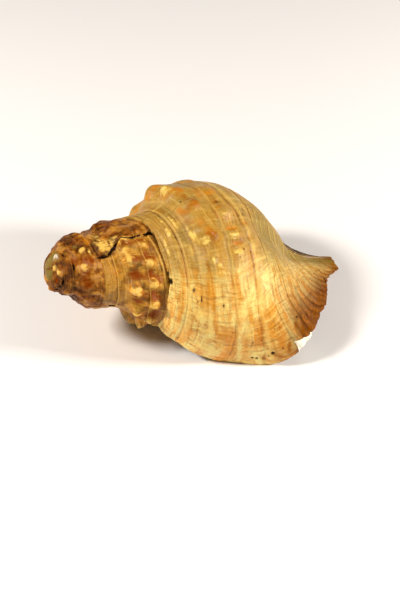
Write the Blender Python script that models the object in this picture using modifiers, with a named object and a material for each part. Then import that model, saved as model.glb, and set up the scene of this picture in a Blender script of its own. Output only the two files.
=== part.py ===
"""A large knobbed triton (conch) shell lying with its aperture down.

The shell is a right-handed spiral.  One growth stage is a whorl outline in a half
plane through the coiling axis; the outline turns about the axis and grows by fixed
factors each turn.  Stage 0 is the lip and the stages are counted in turns, negative
towards the apex.  Lengths are in metres, +Z is up, the canal points to +X.
"""
import bmesh
import bpy
import math
import numpy as np
from mathutils import Matrix

MM = 0.001

# Growth of the spiral
RADIUS_GROWTH = 1.50        # radial growth in one turn
LENGTH_GROWTH = 1.80        # axial growth in one turn
APEX_OFFSET = 12.0 * MM     # axial shift of the spiral's virtual apex
FIRST_STAGE = -3.40
MIDDLE_STAGE = -0.458       # stage of the middle outline, on top of the body whorl
LIP_FLARE_START = -0.22     # the outline starts to open towards the lip here

# The apex is worn down to a dome, an ellipsoid about the axis
DOME_PLACE = 52.0 * MM
DOME_LENGTH = 18.7 * MM
DOME_RADIUS = 20.5 * MM

# Whorl outlines, (radius, distance along the axis) in mm from suture to canal.
# The spire outline is scaled to stage 0; the other two have the size of their own stages.
SPIRE_OUTLINE = ((36.5, 96.0), (37.6, 107.5), (40.0, 119.5), (45.8, 132.5), (51.8, 146.5), (53.9, 161.0),
                 (54.2, 174.0), (45.6, 196.0), (32.0, 214.0), (19.0, 228.0), (11.0, 244.0), (8.0, 260.0))
MIDDLE_OUTLINE = ((30.7, 85.3), (33.0, 93.8), (37.0, 102.0), (47.1, 109.8), (52.0, 123.0), (53.3, 138.0),
                  (50.5, 153.0), (42.0, 169.0), (27.5, 186.0), (14.5, 200.0), (7.5, 218.0), (5.0, 239.0))
LIP_OUTLINE = ((37.0, 105.0), (47.8, 108.5), (54.4, 118.5), (59.2, 132.5), (63.0, 147.5), (65.1, 163.0),
               (65.0, 176.0), (59.5, 189.0), (50.0, 201.0), (38.0, 213.0), (24.0, 226.0), (7.0, 242.0))

# Lip edge
LIP_RECESS = 20.0 / 360.0   # the front half of the lip stands back by this part of a turn
LIP_FLARE = 0.12            # the last sixth of a turn opens outwards by this share

# Relief, as heights on a whorl of stage 0
NODULES_PER_TURN = 16.0
NODULE_STAGE = -0.21        # one nodule stands at this stage
SHOULDER_ROW = 0.245        # place of the nodule rows along the outline
SECOND_ROW = 0.370
NODULE_WIDTH = 0.050
SPIRE_NODULE = 4.2 * MM
BODY_NODULE = 3.4 * MM
CORD_PITCH = 0.084          # spacing of the broad spiral cords along the outline
CORD_HEIGHT = 0.45 * MM
VARIX_STAGE = -1.255        # an old thickened lip crosses the last spire whorl
VARIX_LEAN = -0.115         # its stage changes this much along the whole outline
VARIX_HEIGHT = 3.4 * MM

# Wall, aperture and canal
WALL = 3.6 * MM
LIP_WALL = 2.2 * MM
CALLUS = 2.2 * MM           # glaze laid over the whorl inside the aperture
CAVITY_TURNS = 1.9
COLUMELLA_RADIUS = 9.0 * MM

# Resting attitude
AXIS_PITCH = math.radians(18.7)     # the apex end is raised by this much
LIP_ANGLE = math.radians(-30.2)     # the lip points this far below the horizontal
FOOT_CUT = 2.2 * MM                 # depth of the worn flats that it stands on

# Mesh
VOXEL = 1.7 * MM
SKIN_KEPT = 0.125
HOLLOW_KEPT = 0.060
STEPS_PER_TURN = 150
OUTLINE_STEPS = 60


def clear_scene():
    """Empty the scene."""
    for item in list(bpy.data.objects):
        bpy.data.objects.remove(item, do_unlink=True)


def collection(name):
    """A collection linked to the scene."""
    group = bpy.data.collections.new(name)
    bpy.context.scene.collection.children.link(group)
    return group


def ramp(low, high, value):
    """Smooth step from 0 at low to 1 at high."""
    x = np.clip((value - low) / (high - low), 0.0, 1.0)
    return x * x * (3.0 - 2.0 * x)


def grown(shape, stage):
    """Scale a shape from stage 0 to another stage."""
    factors = np.array([RADIUS_GROWTH ** stage, LENGTH_GROWTH ** stage])
    return np.array([0.0, APEX_OFFSET]) + shape * factors


def unscaled(shape, stage):
    """Scale a shape from its own stage to stage 0."""
    factors = np.array([RADIUS_GROWTH ** stage, LENGTH_GROWTH ** stage])
    return (shape - np.array([0.0, APEX_OFFSET])) / factors


SPIRE_SHAPE = np.array(SPIRE_OUTLINE) * MM
MIDDLE_SHAPE = np.array(MIDDLE_OUTLINE) * MM
LIP_SHAPE = np.array(LIP_OUTLINE) * MM


def control(stage):
    """The points that one stage's outline runs through.

    Up to the middle stage the spire's shape changes into the middle one as it grows.
    From there the suture keeps growing by the same law, while the base and canal keep
    their size until the lip flares.
    """
    if stage <= MIDDLE_STAGE:
        share = ramp(-1.0, MIDDLE_STAGE, stage)
        return grown((1.0 - share) * SPIRE_SHAPE + share * unscaled(MIDDLE_SHAPE, MIDDLE_STAGE), stage)
    rates = np.array([RADIUS_GROWTH, LENGTH_GROWTH])
    law = (rates ** stage - rates ** MIDDLE_STAGE) / (1.0 - rates ** MIDDLE_STAGE)
    low = ramp(0.12, 0.60, np.linspace(0.0, 1.0, len(LIP_SHAPE)))[:, None]
    share = (1.0 - low) * law + low * ramp(LIP_FLARE_START, 0.0, stage)
    return (1.0 - share) * MIDDLE_SHAPE + share * LIP_SHAPE


def outline(stage, steps):
    """Radius and axial distance along a cubic curve through one stage's points, with outward normals."""
    shape = control(stage)
    slope = np.gradient(shape, axis=0)
    place = steps * (len(shape) - 1)
    low = np.clip(np.floor(place).astype(int), 0, len(shape) - 2)
    x = (place - low)[:, None]
    curve = (2 * x ** 3 - 3 * x ** 2 + 1) * shape[low] + (x ** 3 - 2 * x ** 2 + x) * slope[low]
    curve = curve + (3 * x ** 2 - 2 * x ** 3) * shape[low + 1] + (x ** 3 - x ** 2) * slope[low + 1]
    radius, along = curve.T
    across, forward = np.gradient(radius), np.gradient(along)
    size = np.hypot(across, forward)
    return radius, along, forward / size, -across / size


def nodules(stage, steps):
    """Height of the two rows of nodules: bells along the outline, raised cosines round the turn."""
    beat = np.cos(2.0 * math.pi * NODULES_PER_TURN * (stage - NODULE_STAGE)) * 0.5 + 0.5
    strength = SPIRE_NODULE + (BODY_NODULE - SPIRE_NODULE) * ramp(-1.0, -0.8, stage)
    strength = strength * (1.0 - ramp(-0.3, -0.08, stage))
    first = np.exp(-((steps - SHOULDER_ROW) / NODULE_WIDTH) ** 2)
    second = 0.7 * np.exp(-((steps - SECOND_ROW) / NODULE_WIDTH) ** 2)
    return strength * beat ** 1.4 * (first + second)


def cords(steps):
    """Low spiral cords between the suture and the base."""
    reach = ramp(0.03, 0.12, steps) * (1.0 - ramp(0.72, 0.85, steps))
    return CORD_HEIGHT * reach * np.cos(2.0 * math.pi * steps / CORD_PITCH)


def varix(stage, steps):
    """The old lip: it swells towards its edge and drops sharply behind it."""
    ahead = stage - (VARIX_STAGE + VARIX_LEAN * steps)
    swell = ramp(-0.09, -0.008, ahead) * (1.0 - ramp(-0.004, 0.006, ahead))
    return VARIX_HEIGHT * swell * ramp(0.0, 0.06, steps)


def relief(stage, steps):
    """Height of everything that stands above the plain whorl."""
    growth = RADIUS_GROWTH ** stage
    seam = -1.6 * MM * np.exp(-(steps / 0.02) ** 2)
    return growth * (nodules(stage, steps) + cords(steps) + varix(stage, steps) + seam)


def position(radius, along, stage):
    """Points of the half plane of one stage, or of each point's own stage, in space."""
    turn = LIP_ANGLE - 2.0 * math.pi * stage
    side = radius * np.cos(turn)
    rise = radius * np.sin(turn)
    x = along * math.cos(AXIS_PITCH) + rise * math.sin(AXIS_PITCH)
    z = rise * math.cos(AXIS_PITCH) - along * math.sin(AXIS_PITCH)
    return np.stack([x, -side, z], axis=1)


def lip_stage(stage, steps):
    """The stage of each outline point, held back along the front half of the lip."""
    last_half = np.clip((stage + 0.5) / 0.5, 0.0, None)
    return stage - LIP_RECESS * ramp(0.35, 0.60, steps) * last_half


def flare(stage, steps):
    """Share by which the last sixth of a turn opens outwards."""
    return 1.0 + LIP_FLARE * ramp(0.35, 0.6, steps) * ramp(1.02, 0.85, steps) * ramp(-0.16, 0.0, stage)


def worn(radius, along):
    """Pull points that lie beyond the apex dome back onto it."""
    reach = np.hypot(radius / DOME_RADIUS, (DOME_PLACE - along) / DOME_LENGTH)
    hold = np.where(along < DOME_PLACE, (1.0 + reach ** 10) ** -0.1, 1.0)
    blend = ramp(0.0, 3.0 * MM, DOME_PLACE - along)
    hold = 1.0 + (hold - 1.0) * blend
    return radius * hold, DOME_PLACE + (along - DOME_PLACE) * hold


def outer_ring(stage):
    """Closed section of the solid whorl: the outline, then back along the axis."""
    steps = np.linspace(0.0, 1.0, OUTLINE_STEPS)
    radius, along, out_radius, out_along = outline(stage, steps)
    height = relief(stage, steps)
    radius = (radius + out_radius * height) * flare(stage, steps)
    along = along + out_along * height
    root = APEX_OFFSET + 0.220 * LENGTH_GROWTH ** (stage - 1.0)
    back_radius = np.array([0.2 * MM, 0.2 * MM, 0.35 * radius[0], 0.75 * radius[0]])
    back_along = np.array([along[-1], root, 0.65 * root + 0.35 * along[0], 0.25 * root + 0.75 * along[0]])
    skin = position(*worn(radius, along), lip_stage(stage, steps))
    return np.vstack([skin, position(*worn(back_radius, back_along), stage)])


def core(along):
    """Radius of the columella, which narrows towards the canal."""
    return COLUMELLA_RADIUS * (1.0 - 0.6 * ramp(0.165, 0.225, along))


def hollow_wall(stage):
    """Inner face of the outer wall, as far down as there is room beside the columella."""
    thick = WALL + (LIP_WALL - WALL) * float(ramp(-0.2, 0.0, stage))
    steps = np.linspace(0.07, 0.97, 200)
    radius, along, out_radius, out_along = outline(min(stage, 0.0), steps)
    radius = radius * flare(stage, steps) - out_radius * thick
    along = along - out_along * thick
    room = np.nonzero(radius > core(along) + 2.5 * MM)[0][-1]
    pick = np.round(np.linspace(0, room, 44)).astype(int)
    return radius[pick], along[pick], steps[pick]


def cavity_ring(stage):
    """Closed section of the hollow: inside the wall, then along columella and older whorl."""
    radius, along, steps = hollow_wall(stage)
    glaze = CALLUS + 3.0 * MM * float(ramp(-0.05, 0.05, stage))
    inner = outline(min(stage, 0.0) - 1.0, np.linspace(0.62, 0.86, 14))
    inner_radius = np.maximum(inner[0] + inner[2] * glaze, COLUMELLA_RADIUS)
    inner_along = inner[1] + inner[3] * glaze
    core_along = np.linspace(inner_along[-1], along[-1] - 2.0 * MM, 10)[1:]
    ring_radius = np.concatenate([radius[::-1], inner_radius, core(core_along)])
    ring_along = np.concatenate([along[::-1], inner_along, core_along])
    held = np.concatenate([steps[::-1], np.zeros(len(inner_radius) + len(core_along))])
    return position(ring_radius, ring_along, lip_stage(stage, held))


def loft(name, rings):
    """A closed mesh through equal rings of points, capped at both ends."""
    count = len(rings[0])
    points = np.vstack(rings)
    faces = []
    for ring in range(len(rings) - 1):
        for step in range(count):
            start = ring * count
            follow = (step + 1) % count
            faces.append((start + step, start + follow, start + count + follow, start + count + step))
    faces.append(tuple(range(count))[::-1])
    faces.append(tuple(range(len(points) - count, len(points))))
    mesh = bpy.data.meshes.new(name)
    mesh.from_pydata(points.tolist(), [], faces)
    model = bmesh.new()
    model.from_mesh(mesh)
    bmesh.ops.recalc_face_normals(model, faces=model.faces)
    model.to_mesh(mesh)
    model.free()
    return mesh


def whorls():
    """Every whorl from the broken apex to the lip, as one overlapping spiral solid."""
    count = int(STEPS_PER_TURN * -FIRST_STAGE)
    return loft("shell", [outer_ring(stage) for stage in np.linspace(FIRST_STAGE, 0.0, count)])


def cavity():
    """The hollow, from just beyond the lip to its narrow end inside the spire."""
    count = int(STEPS_PER_TURN * 0.5 * CAVITY_TURNS)
    return loft("cavity", [cavity_ring(stage) for stage in np.linspace(-CAVITY_TURNS, 0.07, count)])


def ground(level):
    """A slab whose top trims the flats that the shell rests on."""
    mesh = bpy.data.meshes.new("ground")
    model = bmesh.new()
    bmesh.ops.create_cube(model, size=0.6, matrix=Matrix.Translation((0.0, 0.0, level - 0.3)))
    model.to_mesh(mesh)
    model.free()
    return mesh


def cutter(mesh, group):
    """A hidden object that only cuts."""
    item = bpy.data.objects.new(mesh.name, mesh)
    group.objects.link(item)
    item.hide_render = True
    item.display_type = "WIRE"
    return item


def fuse(item, kept):
    """Join overlapping solids into one skin, then keep a share of its faces."""
    step = item.modifiers.new("fuse", "REMESH")
    step.mode = "VOXEL"
    step.voxel_size = VOXEL
    thin = item.modifiers.new("thin", "DECIMATE")
    thin.ratio = kept


def cut(item, tool):
    """Subtract a cutter."""
    step = item.modifiers.new(tool.name, "BOOLEAN")
    step.operation = "DIFFERENCE"
    step.solver = "EXACT"
    step.object = tool


def shell_material():
    """Weathered calcareous shell, warm tan and dull."""
    material = bpy.data.materials.new("weathered shell")
    material.use_nodes = True
    surface = material.node_tree.nodes["Principled BSDF"]
    surface.inputs["Base Color"].default_value = (0.56, 0.33, 0.11, 1.0)
    surface.inputs["Roughness"].default_value = 0.55
    return material


def build():
    """Make the shell and centre it over its origin, standing on z = 0."""
    clear_scene()
    parts = collection("conch shell")
    tools = collection("cutters")
    mesh = whorls()
    hollow = cavity()
    points = np.array([corner.co[:] for corner in mesh.vertices])
    low, high = points.min(axis=0), points.max(axis=0)
    shift = Matrix.Translation((-(low[0] + high[0]) / 2.0, -(low[1] + high[1]) / 2.0, -low[2] - FOOT_CUT))
    mesh.transform(shift)
    hollow.transform(shift)
    shell = bpy.data.objects.new("shell", mesh)
    parts.objects.link(shell)
    fuse(shell, SKIN_KEPT)
    space = cutter(hollow, tools)
    fuse(space, HOLLOW_KEPT)
    cut(shell, space)
    cut(shell, cutter(ground(0.0), tools))
    mesh.materials.append(shell_material())
    mesh.shade_smooth()


build()
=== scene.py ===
"""Looks of a knobbed triton (conch) shell: weathered outside, glazed aperture, studio.

The shell is a right-handed spiral.  Each point of its skin has a stage (turns of growth,
0 at the lip, negative towards the apex) and a step (0 at the suture, 1 at the canal tip).
Three closed skins make it: the spire up to an old thickened lip, the body whorl, and the
lip.  Lengths are in metres, in the frame of the solid.
"""
import math

import bpy
import numpy as np
from mathutils import Matrix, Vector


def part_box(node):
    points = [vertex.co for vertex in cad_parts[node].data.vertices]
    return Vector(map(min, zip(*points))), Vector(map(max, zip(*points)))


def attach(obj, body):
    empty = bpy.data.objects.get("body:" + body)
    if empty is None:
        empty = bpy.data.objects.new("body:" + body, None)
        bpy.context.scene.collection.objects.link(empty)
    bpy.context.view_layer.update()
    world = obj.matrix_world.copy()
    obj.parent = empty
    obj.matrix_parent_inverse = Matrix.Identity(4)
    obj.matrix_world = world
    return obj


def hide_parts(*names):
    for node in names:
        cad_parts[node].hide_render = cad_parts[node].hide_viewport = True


MM = 0.001
NODE = "shell"

# Growth of the spiral, as in the solid
RADIUS_GROWTH = 1.50            # radial growth in one turn
LENGTH_GROWTH = 1.80            # axial growth in one turn
APEX_OFFSET = 12.0 * MM         # axial shift of the spiral's virtual apex
FIRST_STAGE = -3.40
MIDDLE_STAGE = -0.458           # stage of the middle outline, on top of the body whorl
LIP_FLARE_START = -0.22         # the outline starts to open towards the lip here
AXIS_PITCH = math.radians(18.7)
LIP_ANGLE = math.radians(-30.2)
LIP_RECESS = 20.0 / 360.0       # the front half of the lip stands back by this part of a turn
LIP_FLARE = 0.12                # the last sixth of a turn opens outwards by this share
DOME_PLACE = 52.0 * MM          # the apex is worn down to an ellipsoid about the axis
DOME_LENGTH = 18.7 * MM
DOME_RADIUS = 20.5 * MM
APEX_BEHIND_CENTRE = 129.88 * MM    # virtual apex, measured from the middle of the solid's box
APEX_BESIDE_CENTRE = 10.02 * MM
APEX_HEIGHT = 76.57 * MM            # and from the ground

# Whorl outlines, (radius, distance along the axis) in mm from suture to canal
SPIRE_OUTLINE = ((36.5, 96.0), (37.6, 107.5), (40.0, 119.5), (45.8, 132.5), (51.8, 146.5), (53.9, 161.0),
                 (54.2, 174.0), (45.6, 196.0), (32.0, 214.0), (19.0, 228.0), (11.0, 244.0), (8.0, 260.0))
MIDDLE_OUTLINE = ((30.7, 85.3), (33.0, 93.8), (37.0, 102.0), (47.1, 109.8), (52.0, 123.0), (53.3, 138.0),
                  (50.5, 153.0), (42.0, 169.0), (27.5, 186.0), (14.5, 200.0), (7.5, 218.0), (5.0, 239.0))
LIP_OUTLINE = ((36.8, 103.0), (47.0, 107.5), (54.4, 118.5), (59.2, 132.5), (63.0, 147.5), (65.1, 163.0),
               (65.0, 176.0), (59.5, 189.0), (50.0, 201.0), (38.0, 213.0), (24.0, 226.0), (7.0, 242.0))

# Spiral grooves: where they lie along the outline and how deep each is cut, from 0 to 1
GROOVES = (-0.05, 0.010, 0.045, 0.085, 0.132, 0.195, 0.265, 0.348, 0.392, 0.437, 0.507, 0.538, 0.572, 0.605,
           0.638, 0.672, 0.705, 0.738, 0.770, 0.803, 0.838, 0.870, 0.900, 0.930, 0.965, 1.010)
GROOVE_DEPTHS = (0.0, 0.3, 0.35, 0.3, 0.9, 0.3, 0.0, 0.6, 0.25, 0.8, 0.8, 0.5, 0.8, 0.4,
                 0.8, 0.9, 0.5, 0.6, 0.9, 0.5, 0.9, 0.5, 0.7, 0.5, 0.6, 0.5)
# How far a groove is displaced along the outline before the lip turns out, and at the lip
GROOVE_SWING = ((0.30, 0.44, 0.52, 0.60, 0.66, 0.75, 0.90, 1.0),
                (0.0, 0.03, 0.06, 0.06, 0.03, 0.01, -0.02, -0.02))
GROOVE_FAN = ((0.38, 0.50, 0.55, 0.60, 0.68, 0.74, 0.81, 0.90, 1.0),
              (0.0, 0.028, 0.044, 0.064, 0.085, 0.115, 0.132, 0.11, 0.07))

# Nodules: two rows, the stages at which some of them stand and their running numbers
SHOULDER_ROW = 0.268
SHOULDER_STAGES = (-3.40, -2.297, -2.20, -1.30, -1.228, -1.131, -1.045, -0.985, -0.935, -0.462, -0.403, -0.334,
                   -0.271, -0.211, 0.0)
SHOULDER_NUMBERS = (-41.0, -28.0, -27.0, -16.0, -15.0, -14.0, -13.0, -12.0, -11.0, -5.0, -4.0, -3.0, -2.0,
                    -1.0, 2.5)
SECOND_ROW = 0.398
SECOND_STAGES = (-3.40, -2.30, -1.33, -1.273, -1.216, -1.160, -1.095, -1.03, -0.37, -0.30, -0.254, -0.215, 0.0)
SECOND_NUMBERS = (-41.0, -28.0, -17.0, -16.0, -15.0, -14.0, -13.0, -12.0, -4.0, -3.0, -2.0, -1.0, 3.0)
# Shift of the shoulder row along the outline, in steps, at some stages
SHOULDER_DRIFT = ((-1.14, -1.045, -0.985, -0.90, -0.78), (0.0, 0.035, 0.100, 0.100, 0.0))
SPIRE_NODULE = 8.2 * MM
BODY_NODULE = 5.0 * MM

# Edge of the body whorl along the suture, as steps at some stages: it stands clear of the spire
SUTURE_STAGES = (-0.80, -0.45, -0.30, -0.25, -0.205, -0.168, -0.143, -0.11, -0.05, 0.0)
SUTURE_STEPS = (0.0, 0.012, 0.028, 0.017, 0.020, 0.038, 0.028, 0.012, 0.006, 0.0)

# Broken edge of the lip: part of a turn that is missing at some steps
LIP_LOSS = ((0.0, 0.55, 0.60, 0.66, 0.72, 0.80, 0.865, 0.888, 0.91, 0.95, 1.0),
            (0.0, -0.004, -0.003, 0.018, 0.024, 0.028, 0.014, 0.048, 0.072, 0.072, 0.046))

# Stage and step of the inner corner of the blank patch on the lip
PATCH_CORNER = (-0.036, 0.560)

# The old lip on the last spire whorl
VARIX_STAGE = -1.252
VARIX_HEIGHT = 3.6 * MM
VARIX_OVERHANG = 2.3 * MM       # the newer shell starts this far below its edge

# Relief, each for a whorl of stage 0: at rest and what the lip or the worn whorls add
GROOVE_CUT, GROOVE_CUT_LIP, GROOVE_HALF_WIDTH = 0.30 * MM, 0.25 * MM, 0.11
CORD_RISE, CORD_RISE_LIP = 0.55 * MM, 0.45 * MM
WIDE_GROWTH_BAND, FINE_GROWTH_BAND = 0.34 * MM, 0.17 * MM
WAVES, WAVES_WORN, WAVE_SIZE = 0.55 * MM, 0.9 * MM, 17.0 * MM
ROUGHNESS, ROUGHNESS_OLD, ROUGHNESS_WORN = 0.18 * MM, 0.45 * MM, 1.5 * MM
CRACK_DEPTH = 1.6 * MM
CRACK_SPACING = 5.2 * MM
SUTURE_CREASE = 1.4 * MM
MARK_DEPTH = 7.0 * MM           # a mark reaches this far through the wall

# Broad swellings and hollows of the form: stage, step, half length in turns, half width in
# steps, height in mm
SWELLS = (
    (-0.520, 0.120, 0.070, 0.090, -2.4), (-0.535, 0.230, 0.035, 0.080, -3.2), (-0.465, 0.290, 0.022, 0.040, 0.8),
    (-0.435, 0.390, 0.050, 0.060, -0.9), (-1.400, 0.420, 0.060, 0.080, -1.8), (-1.330, 0.500, 0.060, 0.060, -1.2),
    (-2.470, 0.450, 0.090, 0.180, 2.4), (-2.500, 0.100, 0.100, 0.140, -1.6), (-2.000, 0.300, 0.120, 0.200, -1.6),
    (-3.010, 0.420, 0.080, 0.120, -1.4), (-3.380, 0.100, 0.200, 0.200, -1.0), (-0.985, 0.060, 0.050, 0.090, -2.4),
    (-0.935, 0.230, 0.055, 0.090, -4.4), (-0.955, 0.430, 0.045, 0.060, -2.4), (-0.010, 0.110, 0.045, 0.100, -3.6),
    (-0.250, 0.650, 0.040, 0.080, -2.4), (-0.235, 0.760, 0.035, 0.060, -2.0), (-0.315, 0.920, 0.050, 0.100, -2.2),
    (-0.003, 0.440, 0.020, 0.060, 0.9), (-0.245, 0.620, 0.040, 0.060, -0.9), (-0.340, 0.900, 0.060, 0.070, -1.2),
    (-1.100, 0.500, 0.130, 0.050, 1.5), (-0.940, 0.370, 0.035, 0.060, -4.2), (-0.885, 0.305, 0.040, 0.060, -4.4),
    (-0.962, 0.390, 0.035, 0.050, -2.0), (-0.530, 0.265, 0.030, 0.050, -1.6), (-0.005, 0.030, 0.030, 0.050, 1.6),
    (-2.700, 0.010, 0.060, 0.100, -0.8), (-0.440, 0.930, 0.070, 0.060, -1.6), (-0.350, 0.840, 0.040, 0.050, -1.0),
    (-0.262, 0.580, 0.035, 0.070, -1.1), (-0.958, 0.150, 0.040, 0.060, -1.4), (-0.860, 0.260, 0.030, 0.060, -1.2),
    (-0.940, 0.475, 0.030, 0.040, -1.6), (-0.003, 0.160, 0.040, 0.080, -0.9), (-2.930, 0.540, 0.060, 0.100, -1.2),
    (-1.940, 0.230, 0.050, 0.080, -0.8),
)

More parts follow.
